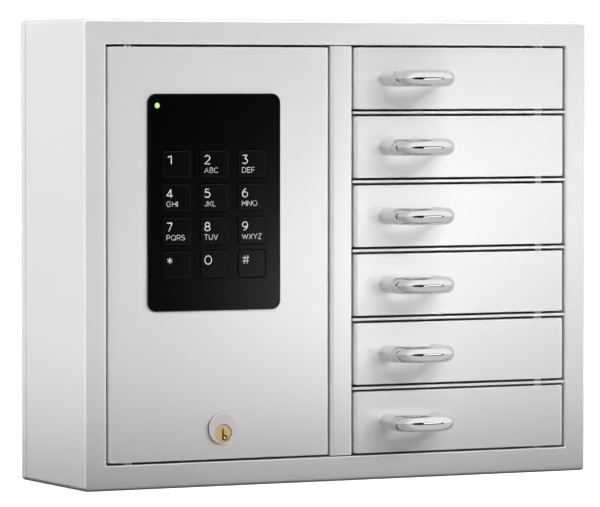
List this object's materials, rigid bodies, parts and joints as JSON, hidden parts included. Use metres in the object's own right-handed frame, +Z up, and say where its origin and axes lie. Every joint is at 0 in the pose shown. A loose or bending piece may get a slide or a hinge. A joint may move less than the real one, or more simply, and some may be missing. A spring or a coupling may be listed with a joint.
{
  "type": "key cabinet",
  "caption": "Wall-hung sheet-steel key cabinet with a service door that carries a code pad and a cam lock, and a column of small latched key doors with bow handles.",
  "frame": {"origin": "centre of the back plate's outer face, which lies on the wall", "axes": "+X to the right seen from the front, +Y into the wall, +Z up; the doors face -Y"},
  "size_m": [0.342, 0.1237, 0.28],
  "materials": {
    "powder_coat": "fine-textured powder coat, satin",
    "zinc_steel": "zinc-plated sheet",
    "chrome": "polished chrome plate",
    "pin_steel": "ground bright steel",
    "black_panel": "semi-gloss black",
    "key_plastic": "satin black with white legends",
    "led_lens": "clear, lit pale green",
    "nickel": "satin nickel plate",
    "brass": "turned brass",
    "circuit_board": "green solder mask",
    "cell_wrap": "plain printed film"
  },
  "bodies": {
    "cabinet": {"front_casing": "powder_coat", "back_plate": "powder_coat", "centre_partition": "powder_coat", "latch_rail": "zinc_steel", "control_board": "circuit_board", "battery_holder": "black_panel", "battery_cell_1": "cell_wrap", "battery_cell_2": "cell_wrap", "battery_cell_3": "cell_wrap", "battery_cell_4": "cell_wrap", "key_shelf_1": "powder_coat", "key_shelf_2": "powder_coat", "key_shelf_3": "powder_coat", "key_shelf_4": "powder_coat", "key_shelf_5": "powder_coat", "key_door_hinge_rod": "pin_steel", "service_door_upper_pin": "pin_steel", "service_door_lower_pin": "pin_steel"},
    "service_door": {"service_door": "powder_coat", "keypad_bezel": "black_panel", "keypad_circuit_board": "circuit_board", "keypad_rear_cover": "black_panel", "status_led_lens": "led_lens", "lock_housing": "nickel", "lock_nut": "zinc_steel"},
    "lock_core": {"lock_plug": "brass", "lock_cam": "zinc_steel", "cam_screw": "zinc_steel"},
    "key_door_1": {"key_door_1": "powder_coat", "door_handle_1": "chrome"},
    "key_door_2": {"key_door_2": "powder_coat", "door_handle_2": "chrome"},
    "key_door_3": {"key_door_3": "powder_coat", "door_handle_3": "chrome"},
    "key_door_4": {"key_door_4": "powder_coat", "door_handle_4": "chrome"},
    "key_door_5": {"key_door_5": "powder_coat", "door_handle_5": "chrome"},
    "key_door_6": {"key_door_6": "powder_coat", "door_handle_6": "chrome"},
    "latch_bolt_1": {"latch_bolt_1": "pin_steel"},
    "latch_bolt_2": {"latch_bolt_2": "pin_steel"},
    "latch_bolt_3": {"latch_bolt_3": "pin_steel"},
    "latch_bolt_4": {"latch_bolt_4": "pin_steel"},
    "latch_bolt_5": {"latch_bolt_5": "pin_steel"},
    "latch_bolt_6": {"latch_bolt_6": "pin_steel"},
    "key_1": {"key_1": "key_plastic"},
    "key_2": {"key_2": "key_plastic"},
    "key_3": {"key_3": "key_plastic"},
    "key_4": {"key_4": "key_plastic"},
    "key_5": {"key_5": "key_plastic"},
    "key_6": {"key_6": "key_plastic"},
    "key_7": {"key_7": "key_plastic"},
    "key_8": {"key_8": "key_plastic"},
    "key_9": {"key_9": "key_plastic"},
    "key_star": {"key_star": "key_plastic"},
    "key_0": {"key_0": "key_plastic"},
    "key_hash": {"key_hash": "key_plastic"}
  },
  "joints": [
    {"name": "service_door_hinge", "type": "hinge", "parent": "cabinet", "child": "service_door", "pos_m": [-0.1403, -0.088, 0], "axis": [0, 0, -1], "range_deg": [0, 110]},
    {"name": "lock_turn", "type": "hinge", "parent": "service_door", "child": "lock_core", "pos_m": [-0.081, -0.085, -0.108], "axis": [0, -1, 0], "range_deg": [0, 90]},
    {"name": "key_door_1_hinge", "type": "hinge", "parent": "cabinet", "child": "key_door_1", "pos_m": [0.1403, -0.088, 0.10487], "axis": [0, 0, 1], "range_deg": [0, 110]},
    {"name": "key_door_2_hinge", "type": "hinge", "parent": "cabinet", "child": "key_door_2", "pos_m": [0.1403, -0.088, 0.063], "axis": [0, 0, 1], "range_deg": [0, 110]},
    {"name": "key_door_3_hinge", "type": "hinge", "parent": "cabinet", "child": "key_door_3", "pos_m": [0.1403, -0.088, 0.021], "axis": [0, 0, 1], "range_deg": [0, 110]},
    {"name": "key_door_4_hinge", "type": "hinge", "parent": "cabinet", "child": "key_door_4", "pos_m": [0.1403, -0.088, -0.021], "axis": [0, 0, 1], "range_deg": [0, 110]},
    {"name": "key_door_5_hinge", "type": "hinge", "parent": "cabinet", "child": "key_door_5", "pos_m": [0.1403, -0.088, -0.063], "axis": [0, 0, 1], "range_deg": [0, 110]},
    {"name": "key_door_6_hinge", "type": "hinge", "parent": "cabinet", "child": "key_door_6", "pos_m": [0.1403, -0.088, -0.10487], "axis": [0, 0, 1], "range_deg": [0, 110]},
    {"name": "latch_bolt_1_slide", "type": "slide", "parent": "cabinet", "child": "latch_bolt_1", "axis": [1, 0, 0], "range_m": [0, 0.009]},
    {"name": "latch_bolt_2_slide", "type": "slide", "parent": "cabinet", "child": "latch_bolt_2", "axis": [1, 0, 0], "range_m": [0, 0.009]},
    {"name": "latch_bolt_3_slide", "type": "slide", "parent": "cabinet", "child": "latch_bolt_3", "axis": [1, 0, 0], "range_m": [0, 0.009]},
    {"name": "latch_bolt_4_slide", "type": "slide", "parent": "cabinet", "child": "latch_bolt_4", "axis": [1, 0, 0], "range_m": [0, 0.009]},
    {"name": "latch_bolt_5_slide", "type": "slide", "parent": "cabinet", "child": "latch_bolt_5", "axis": [1, 0, 0], "range_m": [0, 0.009]},
    {"name": "latch_bolt_6_slide", "type": "slide", "parent": "cabinet", "child": "latch_bolt_6", "axis": [1, 0, 0], "range_m": [0, 0.009]},
    {"name": "key_1_press", "type": "slide", "parent": "service_door", "child": "key_1", "axis": [0, 1, 0], "range_m": [0, 0.001], "stiffness_N_per_m": 600},
    {"name": "key_2_press", "type": "slide", "parent": "service_door", "child": "key_2", "axis": [0, 1, 0], "range_m": [0, 0.001], "stiffness_N_per_m": 600},
    {"name": "key_3_press", "type": "slide", "parent": "service_door", "child": "key_3", "axis": [0, 1, 0], "range_m": [0, 0.001], "stiffness_N_per_m": 600},
    {"name": "key_4_press", "type": "slide", "parent": "service_door", "child": "key_4", "axis": [0, 1, 0], "range_m": [0, 0.001], "stiffness_N_per_m": 600},
    {"name": "key_5_press", "type": "slide", "parent": "service_door", "child": "key_5", "axis": [0, 1, 0], "range_m": [0, 0.001], "stiffness_N_per_m": 600},
    {"name": "key_6_press", "type": "slide", "parent": "service_door", "child": "key_6", "axis": [0, 1, 0], "range_m": [0, 0.001], "stiffness_N_per_m": 600},
    {"name": "key_7_press", "type": "slide", "parent": "service_door", "child": "key_7", "axis": [0, 1, 0], "range_m": [0, 0.001], "stiffness_N_per_m": 600},
    {"name": "key_8_press", "type": "slide", "parent": "service_door", "child": "key_8", "axis": [0, 1, 0], "range_m": [0, 0.001], "stiffness_N_per_m": 600},
    {"name": "key_9_press", "type": "slide", "parent": "service_door", "child": "key_9", "axis": [0, 1, 0], "range_m": [0, 0.001], "stiffness_N_per_m": 600},
    {"name": "key_star_press", "type": "slide", "parent": "service_door", "child": "key_star", "axis": [0, 1, 0], "range_m": [0, 0.001], "stiffness_N_per_m": 600},
    {"name": "key_0_press", "type": "slide", "parent": "service_door", "child": "key_0", "axis": [0, 1, 0], "range_m": [0, 0.001], "stiffness_N_per_m": 600},
    {"name": "key_hash_press", "type": "slide", "parent": "service_door", "child": "key_hash", "axis": [0, 1, 0], "range_m": [0, 0.001], "stiffness_N_per_m": 600}
  ]
}
